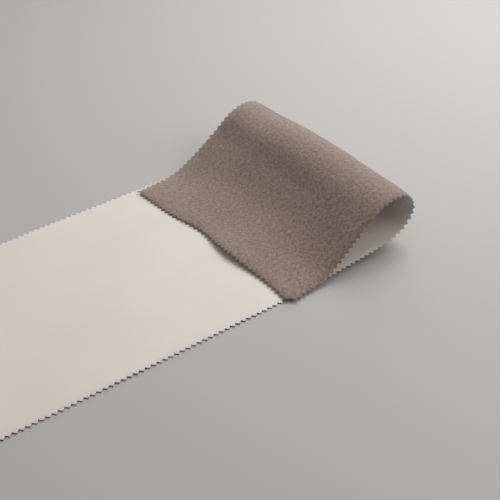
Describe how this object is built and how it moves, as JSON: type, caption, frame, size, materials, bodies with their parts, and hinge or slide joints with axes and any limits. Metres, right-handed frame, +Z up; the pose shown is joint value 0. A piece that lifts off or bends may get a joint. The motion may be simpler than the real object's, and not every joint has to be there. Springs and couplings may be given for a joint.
{
  "type": "piano keyboard cover",
  "caption": "Long strip of two-faced cloth with a pinked edge that lies over a piano's keys as a dust cover, one end turned back in a soft open loop.",
  "frame": {"origin": "middle of the object's footprint, on the surface that the strip lies on", "axes": "+X along the strip to the turned-back end, +Y across it to the back, +Z up"},
  "size_m": [1.102, 0.1982, 0.0465],
  "materials": {
    "cover_cloth": "two-faced cloth: smooth matte cream face, short napped taupe back, cut edge left raw"
  },
  "bodies": {
    "root": {"cover": "cover_cloth"}
  },
  "joints": []
}
